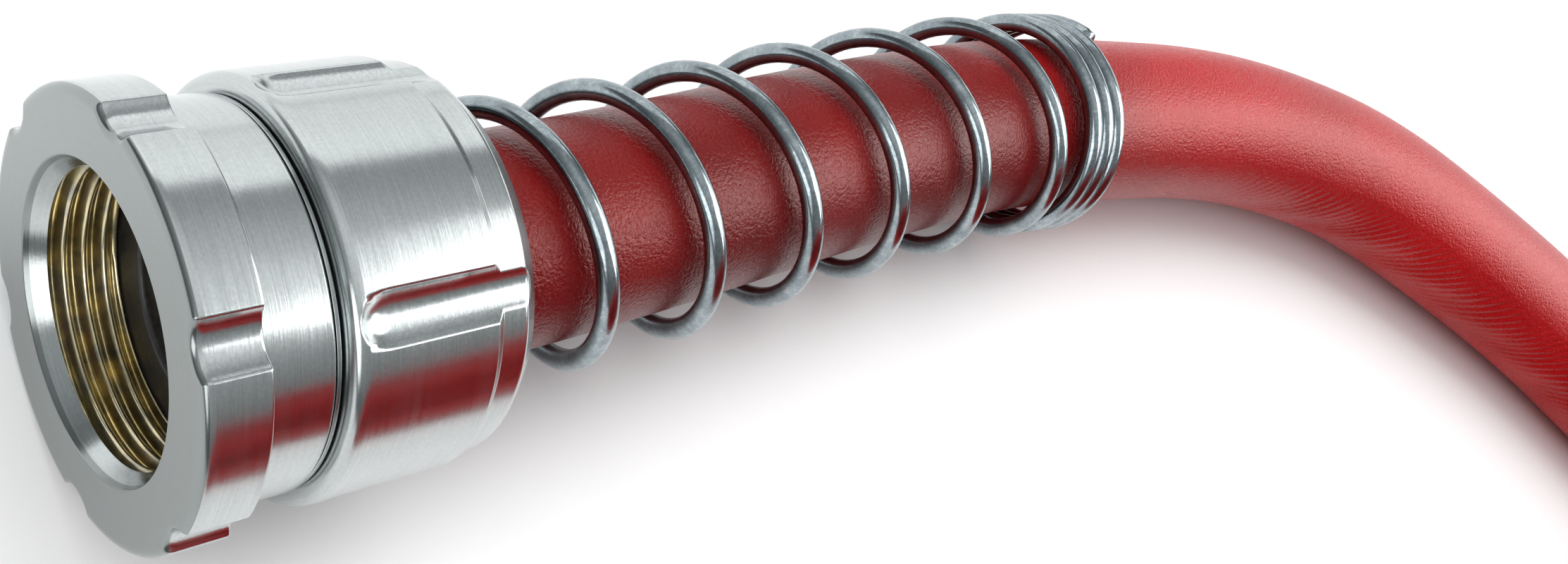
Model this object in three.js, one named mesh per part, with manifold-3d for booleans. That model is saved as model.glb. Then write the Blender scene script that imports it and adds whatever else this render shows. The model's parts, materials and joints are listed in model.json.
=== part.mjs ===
// Rubber booster fire hose with reattachable couplings, laid out for storage.
// Millimetres, +Z up. The delivery end lies along +X on the floor with its threaded
// socket facing -X. The hose bends towards -Y and is wound into one round coil, and
// the male end lies on top of the coil. The origin is on the floor, under the middle
// of the female coupling and its guard spring.
import * as THREE from 'three';
import { mergeVertices } from 'three/addons/utils/BufferGeometryUtils.js';
import Module from 'manifold-3d';

const wasm = await Module();
wasm.setup();

// ---- driving dimensions -------------------------------------------------------

const GAP = 0.3;                   // clearance kept between neighbouring solids
const DEG = Math.PI / 180;

const HOSE_R = 19.4;               // taken as 1 inch booster hose
const HOSE_BORE_R = 13.2;

const RING_R = 35.2;               // swivel ring
const RING_WIDTH = 10.3;
const RING_ROUND = 1.7;
const NECK_R = 31.2;
const NECK_END = 21.9;
const SOCKET_MOUTH_R = 24.8;
const SOCKET_MOUTH_DEPTH = 3.1;
const THREAD_MINOR_R = 22.8;
const THREAD_MAJOR_R = 24.6;
const THREAD_PITCH = 3.175;        // 8 threads per inch, assumed
const THREAD_END = 14.0;
const RING_SLOTS = 6;
const RING_SLOT_ANGLE = 50;        // first slot, degrees from +Y towards +Z

const WASHER_THICKNESS = 3.0;
const WASHER_BORE_R = 15.5;
const WIRE_GROOVE_AT = 19.9;
const WIRE_R = 1.0;

const FLANGE_START = 22.2;         // thin collar between swivel and shell
const FLANGE_END = 22.9;
const FLANGE_R = 30.9;
const STEM_SPIGOT_R = 28.6;
const STEM_SPIGOT_END = 30.5;
const STEM_BORE_R = 10.0;
const STEM_ROOT_R = 11.8;
const STEM_BARB_R = 12.9;
const STEM_END = 55.0;
const BARB_COUNT = 3;

const SHELL_START = 23.2;
const SHELL_R = 34.1;
const SHELL_FRONT_ROUND = 2.9;
const SHELL_STEP_AT = 47.5;        // slots run out here into the rear band
const SHELL_BAND_R = 32.8;
const SHELL_BAND_END = 53.6;
const SHELL_END = 57.2;
const SHELL_LIP_R = 29.5;
const SHELL_SLOTS = 5;
const SHELL_SLOT_ANGLE = 40.5;
const SHELL_SLOT_START = 29.0;

const SLOT_CUTTER_R = 6.0;
const SLOT_DEPTH = 2.2;

const JAW_COUNT = 3;
const JAW_START = 33.5;
const JAW_END = 45.6;
const JAW_SPLIT = 2.0;             // gap between neighbouring jaws
const JAW_BIG_R = 27.2;
const JAW_SMALL_R = 24.6;
const SPRING_SEAT_R = 22.6;        // lip inside the shell that the spring sits on
const SPRING_SEAT_END = 48.4;
const SPRING_POCKET_R = 26.4;

const SPRING_MEAN_R = 23.25;
const SPRING_WIRE_R = 2.05;
const SPRING_CLOSED_PITCH = 4.16;
const SPRING_OPEN_PITCH = 22.3;    // where it leaves the shell
const SPRING_WIDE_PITCH = 28.7;    // near its free end
const SPRING_TIP_PITCH = 4.43;
const SPRING_START = 50.8;
const SPRING_END = 233.5;
const OVERALL_LENGTH = 235.6;      // front face to the tip of the sagging spring

const COUPLING_SEGMENTS = 32;
const HOSE_SLEEVE_START = 31.2;
const HOSE_SLEEVE_END = 58.2;

const COIL_RADIUS = 250;           // middle of the turns
const COIL_SPACING = 39.1;         // from one turn to the next
const COIL_WIDE = 3;               // turns side by side
const COIL_LAYERS = 3;
const COIL_BASE = 1.8;             // straps pass under the turns
const COIL_CENTRE_X = 270;         // from the female coupling's front face
const COIL_CENTRE_Y = -475;

const STRAP_ANGLES = [75, 225, 320];
const STRAP_WIDTH = 38;
const STRAP_THICKNESS = 1.5;
const BUCKLE_SIZE = [46, 5, 34];

const MALE_ANGLE = 0;              // where the male end lies on the coil
const MALE_RADIUS = 234;

// Where the last turn, followed back from the male end, moves in and sinks.
const TAIL_FIRST_ANGLE = 72;
const TAIL_INWARD_BY = 130;
const TAIL_SUNK_BY = 209;
const TAIL_LAST_ANGLE = 194;
const LEAD_STEPS = 28;
const TAIL_STEPS = 36;

const MALE_THREAD_R = 24.4;
const MALE_THREAD_ROOT_R = 22.9;
const MALE_THREAD_END = 13.0;

// The coupling's front face lies at x = -HALF_LENGTH in its own frame.
const HALF_LENGTH = OVERALL_LENGTH / 2;

// ---- the centrelines of the hose ---------------------------------------------
// Each point is [distance from the coupling's front face, y, z]. Both lists are the
// rounded results of scratch fitting scripts. They were not chosen by hand.

const LEAD_ROUTE = [
  [58.5, 0.0, 35.2],
  [63, 0.0, 35.2],
  [82, 0.3, 34.9],
  [111, 1.4, 33.8],
  [143, 3.2, 32.0],
  [175.5, 4.5, 29.9],
  [209, 4.8, 27.6],
  [235, 3.2, 25.8],
  [260, 0.6, 24.6],
  [284.5, -2.9, 23.8],
  [308, -8.1, 23.1],
  [331, -15.5, 22.5],
  [353.5, -24.8, 22.0],
  [374.5, -36.6, 21.6],
  [394.5, -50.6, 21.2],
  [413.5, -65.3, 20.9],
  [432, -80.7, 20.7],
  [449.5, -97.0, 20.5],
  [466, -114.1, 20.3],
  [483, -132.6, 20.1],
  [498, -150.9, 20.0],
  [514, -178, 19.8],
  [529, -210, 19.7],
  [541, -247, 19.7],
  [550, -290, 19.9],
  [556, -340, 20.5],
];

const TAIL_START = [
  [58.5, 0.0, 35.2],
  [63, 0.0, 35.2],
  [82, 0.2, 34.9],
  [106, 1.3, 34.0],
  [130, 3.4, 32.7],
  [153.7, 6.5, 31.3],
  [177.3, 10.9, 29.7],
  [200.9, 16.7, 28.1],
  [223.9, 24.2, 26.4],
  [246.3, 33.5, 25.0],
  [267.5, 44.9, 23.6],
  [287.4, 58.4, 22.2],
  [305.5, 74.1, 21.1],
  [321.5, 92.0, 20.3],
  [335.2, 111.7, 19.8],
  [346.3, 132.9, 19.6],
];

// ---- helpers -----------------------------------------------------------------

function material(colour, roughness, metalness) {
  return new THREE.MeshStandardMaterial({ color: colour, roughness, metalness });
}

// A closed profile of [station, radius] points turned about the X axis.
function turned(profile, segments = COUPLING_SEGMENTS) {
  let area = 0;
  profile.forEach(([s0, r0], i) => {
    const [s1, r1] = profile[(i + 1) % profile.length];
    area += r0 * s1 - r1 * s0;
  });
  const ordered = area > 0 ? [...profile] : [...profile].reverse();
  ordered.push(ordered[0]);
  const points = ordered.map(([s, r]) => new THREE.Vector2(r, s));
  const geometry = new THREE.LatheGeometry(points, segments);
  geometry.rotateZ(-Math.PI / 2);
  return geometry;
}

// Points of a quarter round from angle a to b, in degrees, about [station, radius].
function arc(station, radius, size, a, b, steps = 4) {
  const points = [];
  for (let i = 0; i <= steps; i += 1) {
    const angle = (a + ((b - a) * i) / steps) * DEG;
    points.push([station + size * Math.cos(angle), radius + size * Math.sin(angle)]);
  }
  return points;
}

function toManifold(geometry) {
  let plain = geometry.clone();
  plain.deleteAttribute('normal');
  plain.deleteAttribute('uv');
  plain = mergeVertices(plain, 1e-4);
  const vertProperties = new Float32Array(plain.attributes.position.array);
  const triVerts = new Uint32Array(plain.index.array);
  return new wasm.Manifold(new wasm.Mesh({ numProp: 3, vertProperties, triVerts }));
}

function toGeometry(solid) {
  const mesh = solid.getMesh();
  const geometry = new THREE.BufferGeometry();
  const positions = new THREE.BufferAttribute(new Float32Array(mesh.vertProperties), 3);
  geometry.setAttribute('position', positions);
  geometry.setIndex(new THREE.BufferAttribute(new Uint32Array(mesh.triVerts), 1));
  geometry.computeVertexNormals();
  return geometry;
}

function subtractAll(geometry, cutters) {
  let solid = toManifold(geometry);
  for (const cutter of cutters) {
    solid = solid.subtract(toManifold(cutter));
  }
  return toGeometry(solid);
}

class Helix extends THREE.Curve {
  constructor(place, turns) {
    super();
    this.place = place;
    this.turns = turns;
  }

  getPoint(t, target = new THREE.Vector3()) {
    return target.copy(this.place(t * this.turns));
  }
}

function polygon(radius, sides) {
  const shape = new THREE.Shape();
  for (let i = 0; i < sides; i += 1) {
    const angle = (2 * Math.PI * i) / sides;
    const x = radius * Math.cos(angle);
    const y = radius * Math.sin(angle);
    if (i === 0) shape.moveTo(x, y);
    else shape.lineTo(x, y);
  }
  shape.closePath();
  return shape;
}

function sweep(curve, radius, sides, steps) {
  return new THREE.ExtrudeGeometry(polygon(radius, sides), {
    steps,
    bevelEnabled: false,
    extrudePath: curve,
  });
}

// Round-bottomed grooves along the axis: the cutters for one set of wrench slots.
function slotCutters(count, firstAngle, outerRadius, from, to) {
  const cutters = [];
  const length = to - from;
  const reach = outerRadius - SLOT_DEPTH + SLOT_CUTTER_R;
  for (let i = 0; i < count; i += 1) {
    const angle = (firstAngle + (360 * i) / count) * DEG;
    const cutter = new THREE.CapsuleGeometry(SLOT_CUTTER_R, length, 2, 12);
    cutter.rotateZ(-Math.PI / 2);
    cutter.translate((from + to) / 2, reach * Math.cos(angle), reach * Math.sin(angle));
    cutters.push(cutter);
  }
  return cutters;
}

function threadCutter(radius, from, to, groove) {
  const turns = (to - from) / THREAD_PITCH;
  const curve = new Helix((turn) => new THREE.Vector3(
    from + turn * THREAD_PITCH,
    radius * Math.cos(2 * Math.PI * turn),
    radius * Math.sin(2 * Math.PI * turn),
  ), turns);
  return sweep(curve, groove, 4, Math.round(turns * 16));
}

// ---- coupling parts, stations measured from the front face ---------------------

function swivelNut() {
  const body = turned([
    [0, SOCKET_MOUTH_R],
    [0, RING_R - RING_ROUND],
    ...arc(RING_ROUND, RING_R - RING_ROUND, RING_ROUND, 180, 90, 3).slice(1),
    [RING_WIDTH - 0.4, RING_R],
    [RING_WIDTH, RING_R - 0.4],
    [RING_WIDTH, NECK_R],
    [NECK_END, NECK_R],
    [NECK_END, THREAD_MAJOR_R],
    [WIRE_GROOVE_AT + WIRE_R + GAP, THREAD_MAJOR_R],
    [WIRE_GROOVE_AT + WIRE_R + GAP, THREAD_MAJOR_R + WIRE_R],
    [WIRE_GROOVE_AT - WIRE_R - GAP, THREAD_MAJOR_R + WIRE_R],
    [WIRE_GROOVE_AT - WIRE_R - GAP, THREAD_MAJOR_R],
    [THREAD_END, THREAD_MAJOR_R],
    [THREAD_END, THREAD_MINOR_R],
    [SOCKET_MOUTH_DEPTH, THREAD_MINOR_R],
  ]);
  const slots = slotCutters(RING_SLOTS, RING_SLOT_ANGLE, RING_R, -9, RING_WIDTH + 9);
  const thread = threadCutter(THREAD_MINOR_R + 0.45, SOCKET_MOUTH_DEPTH, THREAD_END, 1.15);
  return subtractAll(body, [...slots, thread]);
}

function washer() {
  const start = THREAD_END + GAP;
  const end = start + WASHER_THICKNESS;
  return turned([
    [start, WASHER_BORE_R + 0.8],
    [start + 0.8, WASHER_BORE_R],
    [end, WASHER_BORE_R],
    [end, THREAD_MAJOR_R - GAP],
    [start, THREAD_MAJOR_R - GAP],
  ]);
}

// A split spring-wire ring shared by a groove in the nut and one in the stem.
function retainingWire() {
  const radius = THREAD_MAJOR_R - 0.2;
  const span = 352 / 360;
  const curve = new Helix((turn) => new THREE.Vector3(
    WIRE_GROOVE_AT,
    radius * Math.cos(2 * Math.PI * turn),
    radius * Math.sin(2 * Math.PI * turn),
  ), span);
  return sweep(curve, WIRE_R - 0.1, 5, 32);
}

// Everything behind the collar is the same on both stems: spigot, shank and barbs.
function stemTail() {
  const points = [
    [FLANGE_END, FLANGE_R],
    [FLANGE_END, STEM_SPIGOT_R],
    [STEM_SPIGOT_END, STEM_SPIGOT_R],
    [STEM_SPIGOT_END, STEM_ROOT_R],
  ];
  const first = STEM_SPIGOT_END + 2.2;
  const pitch = (STEM_END - first) / BARB_COUNT;
  for (let i = 0; i < BARB_COUNT; i += 1) {
    const at = first + i * pitch;
    points.push([at, STEM_ROOT_R], [at + 0.3, STEM_BARB_R], [at + 1.8, STEM_BARB_R]);
    points.push([at + pitch - 0.6, STEM_ROOT_R]);
  }
  points.push([STEM_END, STEM_ROOT_R - 0.4], [STEM_END, STEM_BORE_R]);
  return points;
}

function femaleStem() {
  const head = THREAD_END + 2 * GAP + WASHER_THICKNESS;
  const headR = THREAD_MAJOR_R - GAP;
  return turned([
    [head, STEM_BORE_R + 2.5],
    [head, headR],
    [WIRE_GROOVE_AT - WIRE_R - GAP, headR],
    [WIRE_GROOVE_AT - WIRE_R - GAP, headR - 1.4],
    [WIRE_GROOVE_AT + WIRE_R + GAP, headR - 1.4],
    [WIRE_GROOVE_AT + WIRE_R + GAP, headR],
    [FLANGE_START, headR],
    [FLANGE_START, FLANGE_R],
    ...stemTail(),
    [head + 2.5, STEM_BORE_R],
  ]);
}

function maleStem() {
  const body = turned([
    [0, STEM_BORE_R + 2.5],
    [0, MALE_THREAD_ROOT_R - 0.6],
    [1.6, MALE_THREAD_R],
    [MALE_THREAD_END - 2, MALE_THREAD_R],
    [MALE_THREAD_END - 1.4, MALE_THREAD_ROOT_R - 0.4],
    [MALE_THREAD_END, MALE_THREAD_ROOT_R - 0.4],
    [MALE_THREAD_END, NECK_R - 1],
    [MALE_THREAD_END + 1, NECK_R],
    [NECK_END, NECK_R],
    [NECK_END + 0.2, FLANGE_R],
    ...stemTail(),
    [2.5, STEM_BORE_R],
  ]);
  const slots = slotCutters(RING_SLOTS, RING_SLOT_ANGLE, NECK_R, MALE_THREAD_END - 9, 31);
  const thread = threadCutter(MALE_THREAD_R, 2.8, MALE_THREAD_END - 3.4, 1.1);
  const kept = slots.map((cutter) => toManifold(cutter));
  let solid = toManifold(body).subtract(toManifold(thread));
  const collarZone = new THREE.CylinderGeometry(40, 40, NECK_END - MALE_THREAD_END, 24);
  collarZone.rotateZ(-Math.PI / 2);
  collarZone.translate((NECK_END + MALE_THREAD_END) / 2, 0, 0);
  for (const cutter of kept) {
    solid = solid.subtract(cutter.intersect(toManifold(collarZone)));
  }
  return toGeometry(solid);
}

function clampShell() {
  const taperStart = STEM_SPIGOT_END + 1.5;
  const body = turned([
    [SHELL_START, STEM_SPIGOT_R + GAP],
    [SHELL_START, SHELL_R - SHELL_FRONT_ROUND],
    ...arc(SHELL_START + SHELL_FRONT_ROUND, SHELL_R - SHELL_FRONT_ROUND,
      SHELL_FRONT_ROUND, 180, 90, 4).slice(1),
    [SHELL_STEP_AT, SHELL_R],
    [SHELL_STEP_AT + 1.6, SHELL_BAND_R],
    [SHELL_BAND_END, SHELL_BAND_R],
    [SHELL_BAND_END + 2, SHELL_BAND_R - 1.1],
    [SHELL_END - 0.4, SHELL_LIP_R + 0.6],
    [SHELL_END, SHELL_LIP_R],
    [SHELL_END, SPRING_POCKET_R + 0.8],
    [SHELL_END - 0.8, SPRING_POCKET_R],
    [SPRING_SEAT_END, SPRING_POCKET_R],
    [SPRING_SEAT_END, SPRING_SEAT_R],
    [JAW_END + GAP, SPRING_SEAT_R],
    [JAW_END + GAP, JAW_SMALL_R + GAP],
    [taperStart, JAW_BIG_R + GAP + 0.3],
    [taperStart, STEM_SPIGOT_R + GAP],
  ]);
  const slots = slotCutters(SHELL_SLOTS, SHELL_SLOT_ANGLE, SHELL_R, SHELL_SLOT_START, 62);
  return subtractAll(body, slots);
}

// One third of a tapered collar. The shell's taper squeezes it onto the hose.
function clampJaw(index) {
  const span = (2 * Math.PI) / JAW_COUNT - JAW_SPLIT / JAW_SMALL_R;
  const shape = new THREE.Shape();
  const hoseR = HOSE_R + GAP;
  const start = (2 * Math.PI * index) / JAW_COUNT;
  const rings = [[JAW_START, JAW_BIG_R], [JAW_END, JAW_SMALL_R]];
  shape.absarc(0, 0, JAW_BIG_R, start, start + span, false);
  shape.absarc(0, 0, hoseR, start + span, start, true);
  shape.closePath();
  const block = new THREE.ExtrudeGeometry(shape, {
    depth: JAW_END - JAW_START,
    bevelEnabled: false,
    curveSegments: 12,
  });
  block.rotateY(Math.PI / 2);
  block.translate(JAW_START, 0, 0);
  const [[from, bigR], [to, smallR]] = rings;
  const cone = turned([[from - 1, hoseR - 2], [from - 1, bigR + 0.2], [to + 1, smallR - 0.2],
    [to + 1, hoseR - 2]]);
  return toGeometry(toManifold(block).intersect(toManifold(cone)));
}

function hoseSleeve() {
  return turned([
    [HOSE_SLEEVE_START, HOSE_BORE_R],
    [HOSE_SLEEVE_START, HOSE_R],
    [HOSE_SLEEVE_END, HOSE_R],
    [HOSE_SLEEVE_END, HOSE_BORE_R],
  ], 24);
}

// ---- guard spring --------------------------------------------------------------

// Pitch against turns: closed in the shell, open along the hose, closed at the tip.
const SPRING_STAGES = [
  { turns: 0.62, from: SPRING_CLOSED_PITCH, to: SPRING_CLOSED_PITCH },
  { turns: 0.1, from: SPRING_CLOSED_PITCH, to: SPRING_OPEN_PITCH },
  { turns: 6.06, from: SPRING_OPEN_PITCH, to: SPRING_WIDE_PITCH },
  { turns: 0.45, from: SPRING_WIDE_PITCH, to: SPRING_TIP_PITCH },
  { turns: 3.23, from: SPRING_TIP_PITCH, to: SPRING_TIP_PITCH },
];
const SPRING_TURNS = SPRING_STAGES.reduce((sum, stage) => sum + stage.turns, 0);
const SPRING_LAST_ANGLE = 55;      // where the cut end of the wire points

function springAdvance(turn) {
  let left = turn;
  let station = 0;
  for (const { turns, from, to } of SPRING_STAGES) {
    const part = Math.min(Math.max(left, 0), turns);
    station += from * part + ((to - from) * part * part) / (2 * turns);
    left -= turns;
  }
  return station;
}

function routeCurve(route) {
  const points = route.map(([s, y, z]) => new THREE.Vector3(s, y, z));
  return new THREE.CatmullRomCurve3(points, false, 'centripetal');
}

// The hose's centre at a distance from the coupling's front face, with two unit
// vectors across the hose: one level, one upright.
function hoseFrame(samples, station) {
  const next = Math.max(1, samples.findIndex((p) => p.x >= station));
  const a = samples[next - 1];
  const b = samples[next];
  const centre = a.clone().lerp(b, (station - a.x) / (b.x - a.x));
  const along = b.clone().sub(a).normalize();
  const level = new THREE.Vector3(-along.y, along.x, 0).normalize();
  const upright = new THREE.Vector3().crossVectors(along, level);
  return { centre, level, upright };
}

function guardSpring(route) {
  const samples = routeCurve([[30, 0, RING_R], ...route.slice(0, 12)]).getPoints(160);
  const total = springAdvance(SPRING_TURNS);
  const stretch = (SPRING_END - SPRING_WIRE_R - SPRING_START) / total;
  const curve = new Helix((turn) => {
    const station = SPRING_START + springAdvance(turn) * stretch;
    const angle = SPRING_LAST_ANGLE * DEG - 2 * Math.PI * (SPRING_TURNS - turn);
    const { centre, level, upright } = hoseFrame(samples, station);
    return centre
      .addScaledVector(level, SPRING_MEAN_R * Math.cos(angle))
      .addScaledVector(upright, SPRING_MEAN_R * Math.sin(angle))
      .setZ(centre.z - RING_R);
  }, SPRING_TURNS);
  return sweep(curve, SPRING_WIRE_R, 6, Math.round(SPRING_TURNS * 16));
}

// ---- hose, coil and straps -------------------------------------------------------

// From the male end the hose runs round on top of the coil and then sinks into it.
function tailRoute() {
  const route = [...TAIL_START];
  const depth = COIL_SPACING + STRAP_THICKNESS + 2 * GAP;
  for (let angle = TAIL_FIRST_ANGLE; angle <= TAIL_LAST_ANGLE; angle += 12) {
    const inward = THREE.MathUtils.smoothstep(angle, TAIL_FIRST_ANGLE, TAIL_INWARD_BY);
    const sunk = THREE.MathUtils.smoothstep(angle, TAIL_INWARD_BY, TAIL_SUNK_BY);
    const radius = COIL_RADIUS - COIL_SPACING * inward;
    route.push([
      HALF_LENGTH + radius * Math.sin(angle * DEG),
      MALE_RADIUS - radius * Math.cos(angle * DEG),
      HOSE_R + 0.2 - depth * (1 - Math.cos((Math.PI / 2) * sunk)),
    ]);
  }
  return route;
}

function routeTube(route, steps) {
  const tube = sweep(routeCurve(route), HOSE_R, 10, steps);
  tube.translate(-HALF_LENGTH, 0, 0);
  return tube;
}

const coilCentre = new THREE.Vector3(COIL_CENTRE_X - HALF_LENGTH, COIL_CENTRE_Y, 0);
const coilTop = COIL_BASE + COIL_SPACING * COIL_LAYERS;
const coilHalfWidth = (COIL_SPACING * COIL_WIDE) / 2;

// The male end's frame: on top of the coil and its straps, along a tangent.
const maleFrame = new THREE.Matrix4()
  .makeRotationZ((MALE_ANGLE + 90) * DEG)
  .setPosition(
    coilCentre.x + MALE_RADIUS * Math.cos(MALE_ANGLE * DEG),
    coilCentre.y + MALE_RADIUS * Math.sin(MALE_ANGLE * DEG),
    coilTop + STRAP_THICKNESS + 2 * GAP,
  );

function coilRing(grow) {
  const inner = COIL_RADIUS - coilHalfWidth - grow;
  const outer = COIL_RADIUS + coilHalfWidth + grow;
  const low = COIL_BASE - grow;
  const high = coilTop + grow;
  const corner = HOSE_R / 2;
  const profile = [
    [inner, low + corner],
    [inner + corner, low],
    [outer - corner, low],
    [outer, low + corner],
    [outer, high - corner],
    [outer - corner, high],
    [inner + corner, high],
    [inner, high - corner],
    [inner, low + corner],
  ].map(([r, z]) => new THREE.Vector2(r, z));
  const ring = new THREE.LatheGeometry(profile, 48);
  ring.rotateX(Math.PI / 2);
  ring.translate(coilCentre.x, coilCentre.y, 0);
  return ring;
}

function leadTube() {
  return subtractAll(routeTube(LEAD_ROUTE, LEAD_STEPS), [coilRing(GAP)]);
}

// The tail rides with the male end, so the coil is taken into that end's frame.
function tailTube() {
  const ring = coilRing(GAP);
  ring.applyMatrix4(maleFrame.clone().invert());
  return subtractAll(routeTube(tailRoute(), TAIL_STEPS), [ring]);
}

function strap(angle) {
  const slab = new THREE.BoxGeometry(2 * COIL_RADIUS, STRAP_WIDTH, 4 * coilTop);
  slab.translate(COIL_RADIUS, 0, 0);
  slab.rotateZ(angle * DEG);
  slab.translate(coilCentre.x, coilCentre.y, 0);
  const band = toManifold(coilRing(GAP + STRAP_THICKNESS)).subtract(toManifold(coilRing(GAP)));
  return toGeometry(band.intersect(toManifold(slab)));
}

// A flat two-bar buckle on the outer side of a strap.
function buckle(angle) {
  const [width, thickness, height] = BUCKLE_SIZE;
  const plate = new THREE.BoxGeometry(thickness, width, height);
  const windows = [-1, 1].map((side) => {
    const hole = new THREE.BoxGeometry(thickness * 2, width - 10, height / 2 - 7);
    hole.translate(0, 0, (side * height) / 4);
    return hole;
  });
  const frame = subtractAll(plate, windows);
  const clear = coilHalfWidth + 2 * GAP + STRAP_THICKNESS + thickness / 2;
  frame.translate(COIL_RADIUS + clear, 0, (COIL_BASE + coilTop) / 2);
  frame.rotateZ(angle * DEG);
  frame.translate(coilCentre.x, coilCentre.y, 0);
  return frame;
}

// ---- materials ---------------------------------------------------------------------

const aluminium = material(0xc9ccd0, 0.28, 1.0);
const galvanised = material(0x8f979e, 0.38, 1.0);
const brassWire = material(0xb8bcc0, 0.35, 1.0);
const redRubber = material(0xa3161a, 0.42, 0.0);
const blackRubber = material(0x141518, 0.55, 0.0);
const webbing = material(0x1d1f22, 0.9, 0.0);
const buckleSteel = material(0x9aa0a6, 0.4, 1.0);

// ---- assembly ------------------------------------------------------------------------

const hose = new THREE.Group();

function addPart(parent, name, geometry, finish) {
  const mesh = new THREE.Mesh(geometry, finish);
  mesh.name = name;
  parent.add(mesh);
}

// Pieces that are the same on both ends, in stations from the front face.
function addCommonParts(axis, prefix, route) {
  addPart(axis, `${prefix}clamp_shell`, clampShell(), aluminium);
  for (let i = 0; i < JAW_COUNT; i += 1) {
    addPart(axis, `${prefix}clamp_jaw_${i + 1}`, clampJaw(i), aluminium);
  }
  addPart(axis, `${prefix}guard_spring`, guardSpring(route), galvanised);
  addPart(axis, `${prefix}hose_sleeve`, hoseSleeve(), redRubber);
}

function couplingAxis() {
  const axis = new THREE.Group();
  axis.position.set(-HALF_LENGTH, 0, RING_R);
  return axis;
}

const female = couplingAxis();
addPart(female, 'swivel_nut', swivelNut(), aluminium);
addPart(female, 'swivel_washer', washer(), blackRubber);
addPart(female, 'swivel_retaining_wire', retainingWire(), brassWire);
addPart(female, 'female_stem', femaleStem(), aluminium);
addCommonParts(female, '', LEAD_ROUTE);
hose.add(female);

addPart(hose, 'hose_lead', leadTube(), redRubber);
addPart(hose, 'hose_coil', coilRing(0), redRubber);

const male = new THREE.Group();
male.applyMatrix4(maleFrame);
const maleAxis = couplingAxis();
addPart(maleAxis, 'male_stem', maleStem(), aluminium);
addCommonParts(maleAxis, 'male_', TAIL_START);
male.add(maleAxis);
addPart(male, 'hose_tail', tailTube(), redRubber);
hose.add(male);

STRAP_ANGLES.forEach((angle, i) => {
  addPart(hose, `strap_${i + 1}`, strap(angle), webbing);
  addPart(hose, `strap_buckle_${i + 1}`, buckle(angle), buckleSteel);
});

export default hose;
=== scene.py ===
"""A red rubber fire hose: swivel coupling, guard spring, coil and male end.

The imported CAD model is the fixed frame. Everything here is built in millimetres in
the frame of the part or of one coupling, and is turned into metres when it is added.
"""

import json
import math

import bmesh
import bpy
import numpy as np
from mathutils import Matrix, Vector


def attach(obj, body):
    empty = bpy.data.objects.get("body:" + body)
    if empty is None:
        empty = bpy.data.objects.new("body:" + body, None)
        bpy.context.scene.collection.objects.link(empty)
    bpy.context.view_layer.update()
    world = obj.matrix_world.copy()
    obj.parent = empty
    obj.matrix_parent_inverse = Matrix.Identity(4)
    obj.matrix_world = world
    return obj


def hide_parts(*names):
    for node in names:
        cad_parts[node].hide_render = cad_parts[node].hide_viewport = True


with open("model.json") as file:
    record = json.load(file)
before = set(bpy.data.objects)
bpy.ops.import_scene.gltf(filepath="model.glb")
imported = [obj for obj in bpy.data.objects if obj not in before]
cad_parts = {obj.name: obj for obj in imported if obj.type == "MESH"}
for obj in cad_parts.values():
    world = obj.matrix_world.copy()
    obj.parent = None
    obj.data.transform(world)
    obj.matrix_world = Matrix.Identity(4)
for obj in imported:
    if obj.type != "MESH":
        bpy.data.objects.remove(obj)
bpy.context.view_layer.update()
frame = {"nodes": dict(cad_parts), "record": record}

TAU = 2 * math.pi
MM = 0.001

# ---- sizes in millimetres, the same as the CAD part's ---------------------------

HOSE_R = 19.4

WRINKLES_FROM = 255
WRINKLES_TO = 560
WRINKLE_PITCH = 3.7
WRINKLE_DEPTH = 0.80
WRINKLE_MIDDLE = math.radians(8)
WRINKLE_REACH = math.radians(48)

RING_R = 35.2
RING_WIDTH = 10.3
NECK_R = 31.2
NECK_END = 21.9
SOCKET_MOUTH_R = 24.8
SOCKET_MOUTH_DEPTH = 3.1
THREAD_MINOR_R = 22.8
THREAD_MAJOR_R = 24.6
THREAD_PITCH = 3.175                # 8 threads per inch, assumed
THREAD_END = 14.0
WASHER_START = THREAD_END + 0.3
WASHER_END = THREAD_END + 3.3
WASHER_BORE_R = 15.5
HEAD_R = 24.3                       # washer and stem head, just inside the nut
WIRE_GROOVE_AT = 19.9
WIRE_GROOVE_HALF = 1.3
WIRE_GROOVE_R = 22.9                # floor of its groove in the stem
RING_SLOTS = 6
RING_SLOT_ANGLE = 50

FLANGE_START = 22.2
FLANGE_END = 22.9
FLANGE_R = 30.9
STEM_BORE_R = 10.0
STEM_MOUTH_R = STEM_BORE_R + 2.5
STEM_SPIGOT_R = 28.6
STEM_SPIGOT_END = 30.5
STEM_ROOT_R = 11.8
STEM_BARB_R = 12.9
STEM_END = 55
BARB_COUNT = 3
BARBS_FROM = 32.7
BARB_PITCH = 7.43

SHELL_START = 23.2
SHELL_R = 34.1
SHELL_STEP_AT = 47.5
SHELL_BAND_R = 32.8
SHELL_BAND_END = 53.6
SHELL_END = 57.2
SHELL_LIP_R = 29.5
SHELL_SLOTS = 5
SHELL_SLOT_ANGLE = 40.5
SHELL_SLOT_START = 29.0
SPRING_POCKET_R = 26.4
SPRING_SEAT_R = 22.6
SPRING_SEAT_START = 45.9
SPRING_SEAT_END = 48.4
TAPER_START = 32                    # the cone inside the shell that closes the jaws
TAPER_BIG_R = 27.8
TAPER_SMALL_R = 24.9
SHELL_INNER_R = 28.9

SLOT_CUTTER_R = 6.0
SLOT_DEPTH = 2.2
EDGE_ROUNDING = 0.13

MALE_THREAD_R = 24.4
MALE_THREAD_ROOT_R = 22.9
MALE_THREAD_END = 13.0

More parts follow.
